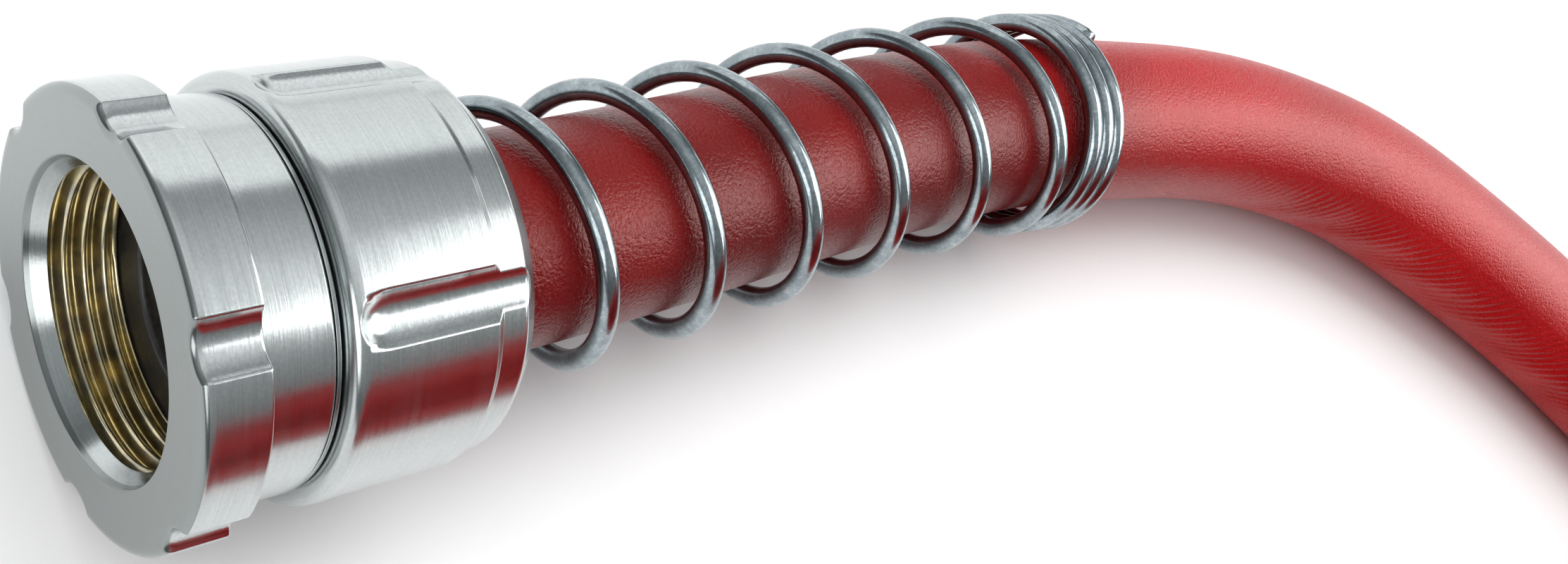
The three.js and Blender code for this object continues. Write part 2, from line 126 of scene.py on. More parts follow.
SPRING_MEAN_R = 23.25
SPRING_WIRE_R = 2.05
SPRING_START = 50.8
SPRING_END = 233.5
OVERALL_LENGTH = 235.6
SPRING_STAGES = [(0.62, 4.16, 4.16), (0.1, 4.16, 22.3), (6.06, 22.3, 28.7),
                 (0.45, 28.7, 4.43), (3.23, 4.43, 4.43)]
SPRING_TURNS = sum(stage[0] for stage in SPRING_STAGES)
SPRING_LAST_ANGLE = 55

HALF_LENGTH = OVERALL_LENGTH / 2
COIL_RADIUS = 250
COIL_SPACING = 39.1
COIL_BASE = 1.8
COIL_LAYERS = 3
COIL_CENTRE = np.array([270 - HALF_LENGTH, -475.0])
COIL_TOP = COIL_BASE + COIL_LAYERS * COIL_SPACING
STRAP_ANGLES = (75, 225, 320)
STRAP_WIDTH = 37.4
STRAP_THICKNESS = 1.4
MALE_RADIUS = 234
MALE_CLEARANCE = 2.1                # from the coil's top to the male coupling

# Most points of both routes come from scratch scripts and were not chosen by hand: a fit to
# the hose's outline in the photo for the first, a drawn curve for the second.
LEAD_ROUTE = [
    (58.5, 0, 35.2), (63, 0, 35.2), (82, 0.3, 34.9), (111, 1.4, 33.8), (143, 3.2, 32.0),
    (175.5, 4.5, 29.9), (209, 4.8, 27.6), (235, 3.2, 25.8), (260, 0.6, 24.6),
    (284.5, -2.9, 23.8), (308, -8.1, 23.1), (331, -15.5, 22.5), (353.5, -24.8, 22.0),
    (374.5, -36.6, 21.6), (394.5, -50.6, 21.2), (413.5, -65.3, 20.9), (432, -80.7, 20.7),
    (449.5, -97.0, 20.5), (466, -114.1, 20.3), (483, -132.6, 20.1), (498, -150.9, 20.0),
    (514, -178, 19.8), (529, -210, 19.7), (541, -247, 19.7), (550, -290, 19.9),
    (556, -340, 20.5)]
TAIL_ROUTE = [
    (58.5, 0, 35.2), (63, 0, 35.2), (82, 0.2, 34.9), (106, 1.3, 34.0), (130, 3.4, 32.7),
    (153.7, 6.5, 31.3), (177.3, 10.9, 29.7), (200.9, 16.7, 28.1), (223.9, 24.2, 26.4),
    (246.3, 33.5, 25.0), (267.5, 44.9, 23.6), (287.4, 58.4, 22.2), (305.5, 74.1, 21.1),
    (321.5, 92.0, 20.3), (335.2, 111.7, 19.8), (346.3, 132.9, 19.6)]

# The hose starts inside each shell, on the coupling's axis.
HOSE_ENDS = [(31.5, 0, RING_R), (45, 0, RING_R)]
COIL_TURNS = 8.80
POINTS_PER_TURN = 36

# Each coupling's own frame has its front face at x = 0 and its axis along x.
FEMALE = Matrix.Translation((-HALF_LENGTH * MM, 0, RING_R * MM))
MALE_BASE = Matrix.Translation((
    (COIL_CENTRE[0] + MALE_RADIUS) * MM, COIL_CENTRE[1] * MM, (COIL_TOP + MALE_CLEARANCE) * MM,
)) @ Matrix.Rotation(math.pi / 2, 4, "Z")
MALE = MALE_BASE @ FEMALE


# ---- mesh helpers -----------------------------------------------------------------

def add_mesh(name, points, faces, material, matrix=None):
    """A smooth mesh object from points in millimetres."""
    mesh = bpy.data.meshes.new(name)
    mesh.from_pydata((np.asarray(points, float) * MM).tolist(), [], faces)
    work = bmesh.new()
    work.from_mesh(mesh)
    bmesh.ops.recalc_face_normals(work, faces=work.faces)
    work.to_mesh(mesh)
    work.free()
    mesh.polygons.foreach_set("use_smooth", np.ones(len(mesh.polygons), bool))
    mesh.materials.append(material)
    return add_object(name, mesh, matrix)


def add_object(name, mesh, matrix=None):
    item = bpy.data.objects.new(name, mesh)
    bpy.context.scene.collection.objects.link(item)
    if matrix is not None:
        item.matrix_world = matrix
    return item


def grid_faces(rows, columns, closed):
    """Quads of a grid of points that closes round its columns and, if asked, its rows."""
    r = np.arange(rows if closed else rows - 1)
    c = np.arange(columns)
    a = (r[:, None] * columns + c).ravel()
    b = (r[:, None] * columns + (c + 1) % columns).ravel()
    d = (((r + 1) % rows)[:, None] * columns + c).ravel()
    e = (((r + 1) % rows)[:, None] * columns + (c + 1) % columns).ravel()
    return np.stack([a, b, e, d], 1).tolist()


def rounded(corners, spacing=2.0, fine=()):
    """A closed profile of (station, radius, fillet) corners, with the corners rounded.

    fine holds (from, to, spacing) ranges of stations that need closer points."""
    points = []
    count = len(corners)
    for i in range(count):
        here = np.array(corners[i][:2], float)
        before = np.array(corners[i - 1][:2], float) - here
        after = np.array(corners[(i + 1) % count][:2], float) - here
        la, lb = np.linalg.norm(before), np.linalg.norm(after)
        u, v = before / la, after / lb
        half = math.acos(max(-1, min(1, float(u @ v)))) / 2
        t = min(corners[i][2] / math.tan(half), 0.46 * la, 0.46 * lb)
        a, b = here + u * t, here + v * t
        hold = min(0.12, 0.3 * t)
        steps = 6 if t > 1 else 3
        points.append(a + u * hold)
        for k in range(steps + 1):
            w = k / steps
            points.append((1 - w) ** 2 * a + 2 * w * (1 - w) * here + w * w * b)
        points.append(b + v * hold)
    result = []
    for i, p in enumerate(points):
        q = points[(i + 1) % len(points)]
        result.append(p)
        middle = (p[0] + q[0]) / 2
        step = min([spacing] + [f[2] for f in fine if f[0] <= middle <= f[1]])
        pieces = int(math.ceil(np.linalg.norm(q - p) / step))
        for k in range(1, pieces):
            result.append(p + (q - p) * k / pieces)
    return np.array(result)


def slot_angles(count, first, outer, base=224):
    """Angles round a part, close together across its wrench slots."""
    half = 1.35 * math.asin(math.sqrt(SLOT_CUTTER_R ** 2 - 3.8 ** 2) / outer)
    centres = [math.radians(first) + TAU * i / count for i in range(count)]
    angles = [c + half * k / 24 for c in centres for k in range(-24, 25)]
    for k in range(base):
        a = TAU * k / base
        gap = min(abs(math.remainder(a - c, TAU)) for c in centres)
        if gap > half * 1.04:
            angles.append(a)
    return np.array(sorted(a % TAU for a in angles))


def slot_floor(station, angle, count, first, outer, start, end):
    """Radius at which a set of round-bottomed slots cuts each point, or a large one."""
    reach = outer - SLOT_DEPTH + SLOT_CUTTER_R
    step = TAU / count
    off = np.mod(angle - math.radians(first) + step / 2, step) - step / 2
    over = np.maximum(np.maximum(start - station, station - end), 0)
    root = SLOT_CUTTER_R ** 2 - over ** 2 - (reach * np.sin(off)) ** 2
    cut = reach * np.cos(off) - np.sqrt(np.maximum(root, 0))
    return np.where(root > 0, cut, outer + 50)


def soft_min(a, b, size):
    h = np.clip(0.5 + 0.5 * (b - a) / size, 0, 1)
    return b * (1 - h) + a * h - size * h * (1 - h)


def lathe(name, profile, angles, material, matrix, shape=None):
    """A profile turned about the x axis. shape changes the radius of each point."""
    station = np.repeat(profile[:, :1], len(angles), 1)
    radius = np.repeat(profile[:, 1:], len(angles), 1)
    theta = np.repeat(angles[None, :], len(profile), 0)
    if shape:
        radius = shape(station, radius, theta)
    points = np.stack([station, radius * np.cos(theta), radius * np.sin(theta)], -1)
    faces = grid_faces(len(profile), len(angles), True)
    return add_mesh(name, points.reshape(-1, 3), faces, material, matrix)


def even(count):
    return TAU * np.arange(count) / count


def catmull(points, per_span):
    """A centripetal Catmull-Rom curve through the points."""
    p = np.array(points, float)
    p = np.vstack([2 * p[0] - p[1], p, 2 * p[-1] - p[-2]])
    out = []
    for i in range(1, len(p) - 2):
        p0, p1, p2, p3 = p[i - 1:i + 3]
        t1 = np.linalg.norm(p1 - p0) ** 0.5
        t2 = t1 + np.linalg.norm(p2 - p1) ** 0.5
        t3 = t2 + np.linalg.norm(p3 - p2) ** 0.5
        for k in range(per_span):
            t = t1 + (t2 - t1) * k / per_span
            a1 = (t1 - t) / t1 * p0 + t / t1 * p1
            a2 = (t2 - t) / (t2 - t1) * p1 + (t - t1) / (t2 - t1) * p2
            a3 = (t3 - t) / (t3 - t2) * p2 + (t - t2) / (t3 - t2) * p3
            b1 = (t2 - t) / t2 * a1 + t / t2 * a2
            b2 = (t3 - t) / (t3 - t1) * a2 + (t - t1) / (t3 - t1) * a3
            out.append((t2 - t) / (t2 - t1) * b1 + (t - t1) / (t2 - t1) * b2)
    out.append(p[-2])
    return np.array(out)


def along(points):
    return np.concatenate([[0], np.cumsum(np.linalg.norm(np.diff(points, axis=0), axis=1))])


def frames_on(centre):
    """Two unit vectors across the line at each point, carried along without twist."""
    tangent = np.gradient(centre, axis=0)
    tangent /= np.linalg.norm(tangent, axis=1)[:, None]
    side = np.cross(tangent[0], (0, 0, 1.0))
    side /= np.linalg.norm(side)
    sides = []
    for t in tangent:
        side = side - t * (side @ t)
        side /= np.linalg.norm(side)
        sides.append(side)
    sides = np.array(sides)
    return sides, np.cross(tangent, sides)


def tube(name, centre, radius, sides, material, matrix=None):
    """A closed tube. radius is a number, or an array with one value for each point."""
    a, b = frames_on(centre)
    theta = even(sides)
    r = radius if np.ndim(radius) else np.full((len(centre), sides), float(radius))
    points = (centre[:, None, :]
              + (r * np.cos(theta))[..., None] * a[:, None, :]
              + (r * np.sin(theta))[..., None] * b[:, None, :])
    faces = grid_faces(len(centre), sides, False)
    last = (len(centre) - 1) * sides
    faces += [list(range(sides))[::-1], list(range(last, last + sides))]
    return add_mesh(name, points.reshape(-1, 3), faces, material, matrix)


# ---- materials --------------------------------------------------------------------

def new_material(name, **sockets):
    material = bpy.data.materials.new(name)
    material.use_nodes = True
    shader = material.node_tree.nodes["Principled BSDF"]
    for socket, value in sockets.items():
        shader.inputs[socket.replace("_", " ")].default_value = value
    return material, material.node_tree, shader


def node(tree, kind, inputs=None, **settings):
    made = tree.nodes.new("ShaderNode" + kind)
    for key, value in settings.items():
        setattr(made, key, value)
    for key, value in (inputs or {}).items():
        if isinstance(value, bpy.types.NodeSocket):
            tree.links.new(value, made.inputs[key])
        else:
            made.inputs[key].default_value = value
    return made


def calc(tree, operation, *values):
    made = node(tree, "Math", operation=operation)
    for i, value in enumerate(values):
        if isinstance(value, bpy.types.NodeSocket):
            tree.links.new(value, made.inputs[i])
        else:
            made.inputs[i].default_value = value
    return made.outputs[0]


def noise(tree, vector, scale, detail=2.0, roughness=0.5):
    return node(tree, "TexNoise", {
        "Vector": vector, "Scale": scale, "Detail": detail, "Roughness": roughness,
    }).outputs[0]


def ramp(tree, factor, *stops):
    """stops are (position, colour) pairs; a colour may be one grey number."""
    made = node(tree, "ValToRGB", {"Fac": factor})
    elements = made.color_ramp.elements
    while len(elements) < len(stops):
        elements.new(0.5)
    for element, (position, colour) in zip(elements, stops):
        element.position = position
        grey = isinstance(colour, (int, float))
        element.color = (colour,) * 3 + (1,) if grey else (*colour, 1)
    return made.outputs[0]


def blend_colour(tree, factor, a, b):
    made = node(tree, "Mix", data_type="RGBA")
    for index, value in ((0, factor), (6, a), (7, b)):
        if isinstance(value, bpy.types.NodeSocket):
            tree.links.new(value, made.inputs[index])
        else:
            made.inputs[index].default_value = value if index == 0 else (*value, 1)
    return made.outputs[2]


def bump(tree, height, strength, distance, normal=None):
    inputs = {"Height": height, "Strength": strength, "Distance": distance}
    if normal is not None:
        inputs["Normal"] = normal
    return node(tree, "Bump", inputs).outputs[0]


def object_place(tree):
    return node(tree, "TexCoord").outputs["Object"]


def axis_place(tree):
    """Station, radius and angle about the object's own x axis."""
    split = node(tree, "SeparateXYZ", {0: object_place(tree)})
    x, y, z = split.outputs
    radius = calc(tree, "SQRT", calc(tree, "ADD", calc(tree, "MULTIPLY", y, y),
                                     calc(tree, "MULTIPLY", z, z)))
    return x, radius, calc(tree, "ARCTAN2", z, y)


def machined_aluminium():
    material, tree, shader = new_material(
        "machined_aluminium", Metallic=1.0, Anisotropic=0.55, Anisotropic_Rotation=0.25)
    x, radius, angle = axis_place(tree)
    lines = node(tree, "CombineXYZ", {
        0: calc(tree, "MULTIPLY", x, 3400.0),
        1: calc(tree, "MULTIPLY", radius, 3400.0),
        2: calc(tree, "MULTIPLY", angle, 2.2)}).outputs[0]
    turning = noise(tree, lines, 1.0, 3.0, 0.6)
    wide_lines = node(tree, "CombineXYZ", {
        0: calc(tree, "MULTIPLY", x, 700.0),
        1: calc(tree, "MULTIPLY", radius, 700.0),
        2: calc(tree, "MULTIPLY", angle, 1.1)}).outputs[0]
    banding = noise(tree, wide_lines, 1.0, 2.0, 0.5)
    smudge = noise(tree, object_place(tree), 55.0, 4.0, 0.6)
    speck = noise(tree, object_place(tree), 1900.0, 2.0, 0.5)
    rough = calc(tree, "ADD", calc(tree, "MULTIPLY", smudge, 0.14),
                 calc(tree, "MULTIPLY", banding, 0.10))
    rough = calc(tree, "ADD", rough, 0.09)
    tree.links.new(rough, shader.inputs["Roughness"])
    tone = ramp(tree, calc(tree, "ADD", calc(tree, "MULTIPLY", turning, 0.6),
                           calc(tree, "MULTIPLY", speck, 0.4)),
                (0.25, (0.40, 0.43, 0.43)), (0.75, (0.56, 0.59, 0.59)))
    # Painted shade: the front face is blended towards a darker grey, standing in for the dim
    # reflection it shows.
    front_face_shade = calc(tree, "LESS_THAN", x, 0.0009)
    tone = blend_colour(tree, calc(tree, "MULTIPLY", front_face_shade, 0.8), tone, (0.215, 0.235, 0.23))
    # Old grease and brass-coloured grime stay in the roots of the thread.
    inside = calc(tree, "MULTIPLY", calc(tree, "LESS_THAN", radius, 0.0249),
                  calc(tree, "GREATER_THAN", x, 0.0034))
    deep = node(tree, "MapRange", {0: radius, 1: 0.0226, 2: 0.0244, 3: 0.60, 4: 1.0}).outputs[0]
    patchy = node(tree, "MapRange", {0: noise(tree, object_place(tree), 130.0, 4.0, 0.6),
                                     1: 0.35, 2: 0.65, 3: 0.55, 4: 1.0}).outputs[0]
    stain = calc(tree, "MULTIPLY", calc(tree, "MULTIPLY", inside, deep), patchy)
    grime = ramp(tree, noise(tree, object_place(tree), 260.0, 3.0, 0.6),
                 (0.30, (0.34, 0.26, 0.11)), (0.58, (0.90, 0.72, 0.32)))
    tree.links.new(blend_colour(tree, stain, tone, grime), shader.inputs["Base Color"])
    normal = bump(tree, turning, 0.30, 0.00003)
    normal = bump(tree, banding, 0.20, 0.00006, normal)
    tree.links.new(bump(tree, speck, 0.10, 0.00003, normal), shader.inputs["Normal"])
    tangent = node(tree, "Tangent", direction_type="RADIAL", axis="X").outputs[0]
    tree.links.new(tangent, shader.inputs["Tangent"])
    return material


def galvanised_steel():
    material, tree, shader = new_material("galvanised_steel", Metallic=1.0)
    place = object_place(tree)
    cloud = noise(tree, place, 210.0, 5.0, 0.65)
    grain = noise(tree, place, 1500.0, 3.0, 0.6)
    mixed = calc(tree, "ADD", calc(tree, "MULTIPLY", cloud, 0.65),
                 calc(tree, "MULTIPLY", grain, 0.35))
    tree.links.new(ramp(tree, mixed, (0.33, (0.17, 0.20, 0.215)), (0.52, (0.28, 0.325, 0.345)),
                        (0.70, (0.46, 0.505, 0.525))), shader.inputs["Base Color"])
    tree.links.new(node(tree, "MapRange", {0: mixed, 1: 0.3, 2: 0.7, 3: 0.24, 4: 0.13}).outputs[0],
                   shader.inputs["Roughness"])
    normal = bump(tree, cloud, 0.20, 0.00010)
    tree.links.new(bump(tree, grain, 0.22, 0.00004, normal), shader.inputs["Normal"])
    return material


def red_rubber():
    """Red rubber with a fine orange peel, darker where a spring guards it: partly scuffing, partly
    painted shade of the spring.
    """
    material, tree, shader = new_material(
        "red_rubber", Specular_IOR_Level=0.32, Specular_Tint=(1.0, 0.74, 0.68, 1))
    place = object_place(tree)
    peel = noise(tree, place, 1500.0, 2.0, 0.55)
    wave = noise(tree, place, 420.0, 2.0, 0.5)
    cloud = noise(tree, place, 26.0, 4.0, 0.6)
    clean = ramp(tree, cloud, (0.30, (0.345, 0.0030, 0.0050)),
                 (0.55, (0.405, 0.0042, 0.0062)), (0.75, (0.455, 0.0075, 0.0085)))
    # Inside the springs the rubber takes this darker ramp: partly scuff marks, partly painted shade of
    # the spring's wires.
    scuffed_and_shaded = ramp(tree, cloud, (0.30, (0.115, 0.0030, 0.0035)),
                   (0.55, (0.165, 0.0042, 0.0050)), (0.75, (0.215, 0.0075, 0.0075)))
    spring_shade_and_scuff = node(tree, "Attribute", attribute_name="spring_shade_and_scuff").outputs["Fac"]
    tree.links.new(blend_colour(tree, spring_shade_and_scuff, clean, scuffed_and_shaded), shader.inputs["Base Color"])
    tree.links.new(node(tree, "MapRange", {0: peel, 1: 0.3, 2: 0.7, 3: 0.24, 4: 0.38}).outputs[0],
                   shader.inputs["Roughness"])
    normal = bump(tree, wave, 0.25, 0.00020)
    tree.links.new(bump(tree, peel, 1.0, 0.00024, normal), shader.inputs["Normal"])
    return material


def black_rubber():
    material, tree, shader = new_material("black_rubber")
    grain = noise(tree, object_place(tree), 900.0, 3.0, 0.6)
    tree.links.new(ramp(tree, grain, (0.3, 0.008), (0.7, 0.022)), shader.inputs["Base Color"])
    tree.links.new(node(tree, "MapRange", {0: grain, 1: 0.3, 2: 0.7, 3: 0.30, 4: 0.48}).outputs[0],
                   shader.inputs["Roughness"])
    tree.links.new(bump(tree, grain, 0.25, 0.0001), shader.inputs["Normal"])
    return material


def spring_wire():
    material, tree, shader = new_material("spring_wire", Metallic=1.0)
    grain = noise(tree, object_place(tree), 1200.0, 3.0, 0.6)
    tree.links.new(ramp(tree, grain, (0.3, 0.42), (0.7, 0.62)), shader.inputs["Base Color"])
    tree.links.new(node(tree, "MapRange", {0: grain, 3: 0.25, 4: 0.42}).outputs[0],
                   shader.inputs["Roughness"])
    return material


def buckle_steel():
    material, tree, shader = new_material("buckle_steel", Metallic=1.0)
    place = object_place(tree)
    cloud = noise(tree, place, 160.0, 4.0, 0.6)
    scratch = noise(tree, place, 2600.0, 2.0, 0.5)
    tree.links.new(ramp(tree, cloud, (0.3, (0.46, 0.47, 0.48)), (0.7, (0.66, 0.67, 0.68))),
                   shader.inputs["Base Color"])
    tree.links.new(node(tree, "MapRange", {0: scratch, 1: 0.3, 2: 0.7, 3: 0.22, 4: 0.40}).outputs[0],
                   shader.inputs["Roughness"])
    tree.links.new(bump(tree, scratch, 0.2, 0.00003), shader.inputs["Normal"])
    return material


def black_webbing():
    """A plain weave across and along the strap, from the strap's own UV in millimetres."""
    material, tree, shader = new_material(
        "black_webbing", Roughness=0.82, Sheen_Weight=0.35, Sheen_Roughness=0.45)
    split = node(tree, "SeparateXYZ", {0: node(tree, "TexCoord").outputs["UV"]})
    u, v = split.outputs[0], split.outputs[1]
    rib = calc(tree, "SINE", calc(tree, "MULTIPLY", u, TAU / 1.7))
    yarn = calc(tree, "SINE", calc(tree, "ADD", calc(tree, "MULTIPLY", v, TAU / 1.5),
                                   calc(tree, "MULTIPLY", u, TAU / 3.4)))
    weave = calc(tree, "ADD", calc(tree, "MULTIPLY", calc(tree, "MULTIPLY", rib, yarn), 0.5), 0.5)
    fuzz = noise(tree, object_place(tree), 1400.0, 3.0, 0.6)
    tone = calc(tree, "ADD", calc(tree, "MULTIPLY", weave, 0.6), calc(tree, "MULTIPLY", fuzz, 0.4))
    tree.links.new(ramp(tree, tone, (0.2, (0.006, 0.0065, 0.008)), (0.8, (0.034, 0.036, 0.042))),
                   shader.inputs["Base Color"])
    tree.links.new(bump(tree, tone, 0.7, 0.0003), shader.inputs["Normal"])
    return material


def pale_floor():
    material, tree, shader = new_material("pale_floor", Specular_IOR_Level=0.2)
    cloud = noise(tree, object_place(tree), 3.0, 3.0, 0.5)
    tree.links.new(ramp(tree, cloud, (0.3, (0.90, 0.90, 0.90)), (0.7, (0.93, 0.93, 0.93))),
                   shader.inputs["Base Color"])
    tree.links.new(node(tree, "MapRange", {0: cloud, 3: 0.75, 4: 0.9}).outputs[0],
                   shader.inputs["Roughness"])
    return material


ALUMINIUM = machined_aluminium()
GALVANISED = galvanised_steel()
RED_RUBBER = red_rubber()
BLACK_RUBBER = black_rubber()
SPRING_WIRE = spring_wire()
BUCKLE_STEEL = buckle_steel()
WEBBING = black_webbing()
FLOOR = pale_floor()

BY_SLOT = {
    "machined_aluminium": ALUMINIUM, "galvanised_steel": GALVANISED,
    "red_rubber": RED_RUBBER, "black_rubber": BLACK_RUBBER, "spring_wire": SPRING_WIRE,
    "buckle_steel": BUCKLE_STEEL, "black_webbing": WEBBING,
}
for part in frame["record"]["subparts"]:
    mesh = frame["nodes"][part["node"]].data
    mesh.materials.clear()
    mesh.materials.append(BY_SLOT[part["material_slot"]])


def place_piece(piece, body, slot, *nodes):
    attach(piece, body)
    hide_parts(*nodes)
    return piece


# ---- couplings -----------------------------------------------------------------------

def ring_shape(station, radius, theta):
    """Six notches through the swivel ring, and the socket's thread."""
    cut = slot_floor(station, theta, RING_SLOTS, RING_SLOT_ANGLE, RING_R, -20, 60)
    floor = soft_min(np.full_like(radius, RING_R), cut, EDGE_ROUNDING)
    core = np.where(station < 1, SOCKET_MOUTH_R + 0.5, NECK_R)
    zone = (station <= RING_WIDTH + 0.001) & (radius > core)
    share = np.clip((radius - core) / (RING_R - core), 0, 1)
    radius = np.where(zone, core + share * (floor - core), radius)
    phase = np.mod((station - SOCKET_MOUTH_DEPTH) / THREAD_PITCH - theta / TAU, 1)
    tooth = np.clip((np.abs(2 * phase - 1) - 0.16) / 0.70, 0, 1)
    groove = THREAD_MAJOR_R - (THREAD_MAJOR_R - THREAD_MINOR_R) * tooth
    inside = (radius < THREAD_MAJOR_R + 0.02) & (station < THREAD_END - 0.01)
    inside &= station > SOCKET_MOUTH_DEPTH
    return np.where(inside, groove, radius)


def swivel_nut():
    profile = rounded([
        (0, SOCKET_MOUTH_R, 0.4), (0, RING_R, 1.7), (RING_WIDTH, RING_R, 0.45),
        (RING_WIDTH, NECK_R, 0.25), (NECK_END, NECK_R, 0.35),
        (NECK_END, THREAD_MAJOR_R + 0.6, 0.2),
        (WIRE_GROOVE_AT + WIRE_GROOVE_HALF, THREAD_MAJOR_R, 0.1),
        (WIRE_GROOVE_AT + WIRE_GROOVE_HALF, THREAD_MAJOR_R + 1, 0.1),
        (WIRE_GROOVE_AT - WIRE_GROOVE_HALF, THREAD_MAJOR_R + 1, 0.1),
        (WIRE_GROOVE_AT - WIRE_GROOVE_HALF, THREAD_MAJOR_R, 0.1),
        (THREAD_END, THREAD_MAJOR_R, 0.05),
        (THREAD_END, THREAD_MINOR_R, 0.05), (SOCKET_MOUTH_DEPTH, THREAD_MINOR_R, 0.1),
    ], 2.0, [(SOCKET_MOUTH_DEPTH, THREAD_END, 0.2)])
    angles = slot_angles(RING_SLOTS, RING_SLOT_ANGLE, RING_R, 360)
    return lathe("swivel_ring", profile, angles, ALUMINIUM, FEMALE, ring_shape)


def washer():
    profile = rounded([
        (WASHER_START, WASHER_BORE_R, 0.9), (WASHER_END, WASHER_BORE_R, 0.9),
        (WASHER_END, HEAD_R, 0.4), (WASHER_START, HEAD_R, 1.2)], 0.8)
    return lathe("socket_washer", profile, even(160), BLACK_RUBBER, FEMALE)


def stem_profile(head):
    """The shank behind the collar is the same on both stems."""
    corners = head + [
        (FLANGE_END, FLANGE_R, 0.12), (FLANGE_END, STEM_SPIGOT_R, 0.1),
        (STEM_SPIGOT_END, STEM_SPIGOT_R, 0.3), (STEM_SPIGOT_END, STEM_ROOT_R, 0.3)]
    for i in range(BARB_COUNT):
        at = BARBS_FROM + i * BARB_PITCH
        corners += [(at, STEM_ROOT_R, 0.2), (at + 0.3, STEM_BARB_R, 0.2),
                    (at + 1.8, STEM_BARB_R, 0.4)]
    return corners + [(STEM_END, 11.6, 0.3), (STEM_END, STEM_BORE_R, 0.3)]


def female_stem():
    head = THREAD_END + 3.6
    corners = [
        (head, STEM_MOUTH_R, 0.6), (head, HEAD_R, 0.3),
        (WIRE_GROOVE_AT - WIRE_GROOVE_HALF, HEAD_R, 0.1),
        (WIRE_GROOVE_AT - WIRE_GROOVE_HALF, WIRE_GROOVE_R, 0.1),
        (WIRE_GROOVE_AT + WIRE_GROOVE_HALF, WIRE_GROOVE_R, 0.1),
        (WIRE_GROOVE_AT + WIRE_GROOVE_HALF, HEAD_R, 0.1), (FLANGE_START, HEAD_R, 0.1),
        (FLANGE_START, FLANGE_R, 0.12)]
    profile = rounded(stem_profile(corners) + [(head + 2.5, STEM_BORE_R, 0.5)], 1.5)
    return lathe("coupling_stem", profile, even(256), ALUMINIUM, FEMALE)


def male_shape(station, radius, theta):
    """An external thread in front, and six notches in the collar behind it."""
    cut = slot_floor(station, theta, RING_SLOTS, RING_SLOT_ANGLE, NECK_R, -20, 31)
    floor = soft_min(np.full_like(radius, NECK_R), cut, EDGE_ROUNDING)
    zone = (station >= MALE_THREAD_END - 0.001) & (station < NECK_END) & (radius > 24)
    share = np.clip((radius - 24) / (NECK_R - 24), 0, 1)
    radius = np.where(zone, 24 + share * (floor - 24), radius)
    phase = np.mod(station / THREAD_PITCH - theta / TAU, 1)
    tooth = np.clip((np.abs(2 * phase - 1) - 0.12) / 0.70, 0, 1)
    depth = MALE_THREAD_R - MALE_THREAD_ROOT_R
    groove = MALE_THREAD_ROOT_R + depth * tooth
    fade = np.clip((MALE_THREAD_END - 1.9 - station) / 0.8, 0, 1)
    lead_in = MALE_THREAD_ROOT_R - 0.5 + np.clip(station - 0.2, 0, 2.6)
    threaded = (radius > MALE_THREAD_ROOT_R - 0.45) & (station < MALE_THREAD_END - 1.2)
    threaded &= station > 0.25
    worn = np.minimum(MALE_THREAD_R + (groove - MALE_THREAD_R) * fade, lead_in)
    return np.where(threaded, np.minimum(worn, MALE_THREAD_R), radius)


def male_stem():
    corners = [
        (0, STEM_MOUTH_R, 0.5), (0, MALE_THREAD_ROOT_R - 0.5, 0.3),
        (1.6, MALE_THREAD_R, 0.2), (MALE_THREAD_END - 1.6, MALE_THREAD_R, 0.2),
        (MALE_THREAD_END - 1.0, MALE_THREAD_ROOT_R - 0.5, 0.2),
        (MALE_THREAD_END, MALE_THREAD_ROOT_R - 0.5, 0.1), (MALE_THREAD_END, NECK_R, 0.8),
        (NECK_END, NECK_R, 0.2), (NECK_END + 0.3, FLANGE_R, 0.1)]
    profile = rounded(stem_profile(corners) + [(2.5, STEM_BORE_R, 0.5)], 1.5,
                      [(0, MALE_THREAD_END - 1, 0.22)])
    angles = slot_angles(RING_SLOTS, RING_SLOT_ANGLE, NECK_R, 240)
    return lathe("male_end_stem", profile, angles, ALUMINIUM, MALE, male_shape)


def shell_shape(station, radius, theta):
    """Five long wrench slots that run out at the step before the rear band."""
    cut = slot_floor(station, theta, SHELL_SLOTS, SHELL_SLOT_ANGLE, SHELL_R,
                     SHELL_SLOT_START, 80)
    cut = np.where(radius > 29.6, cut, 99)
    return soft_min(radius, cut, EDGE_ROUNDING)


def clamp_shell(name, matrix):
    profile = rounded([
        (SHELL_START, SHELL_INNER_R, 0.2), (SHELL_START, SHELL_R, 2.9), (SHELL_STEP_AT, SHELL_R, 0.25),
        (SHELL_STEP_AT + 1.6, SHELL_BAND_R, 0.4), (SHELL_BAND_END, SHELL_BAND_R, 1.2),
        (SHELL_END, SHELL_LIP_R, 0.8), (SHELL_END, SPRING_POCKET_R, 0.6),
        (SPRING_SEAT_END, SPRING_POCKET_R, 0.3), (SPRING_SEAT_END, SPRING_SEAT_R, 0.3),
        (SPRING_SEAT_START, SPRING_SEAT_R, 0.2), (SPRING_SEAT_START, TAPER_SMALL_R, 0.2),
        (TAPER_START, TAPER_BIG_R, 0.2), (TAPER_START, SHELL_INNER_R, 0.1),
    ], 1.6, [(SHELL_START + 0.2, 31, 0.25), (SHELL_STEP_AT, SHELL_STEP_AT + 1.6, 0.3)])
    angles = slot_angles(SHELL_SLOTS, SHELL_SLOT_ANGLE, SHELL_R, 320)
    return lathe(name, profile, angles, ALUMINIUM, matrix, shell_shape)


place_piece(swivel_nut(), "swivel", "machined_aluminium", "swivel_nut")
place_piece(washer(), "swivel", "black_rubber", "swivel_washer")
place_piece(female_stem(), "hose", "machined_aluminium", "female_stem")
place_piece(clamp_shell("coupling_shell", FEMALE), "hose", "machined_aluminium", "clamp_shell")
male_pieces = [
    place_piece(male_stem(), "hose", "machined_aluminium", "male_stem"),
    place_piece(clamp_shell("male_end_shell", MALE), "hose", "machined_aluminium",
                "male_clamp_shell"),
]


# ---- guard springs -------------------------------------------------------------------

def spring_advance(turn):
    left, station = turn, 0.0
    for turns, low, high in SPRING_STAGES:
        part = min(max(left, 0), turns)
        station += low * part + (high - low) * part * part / (2 * turns)
        left -= turns
    return station


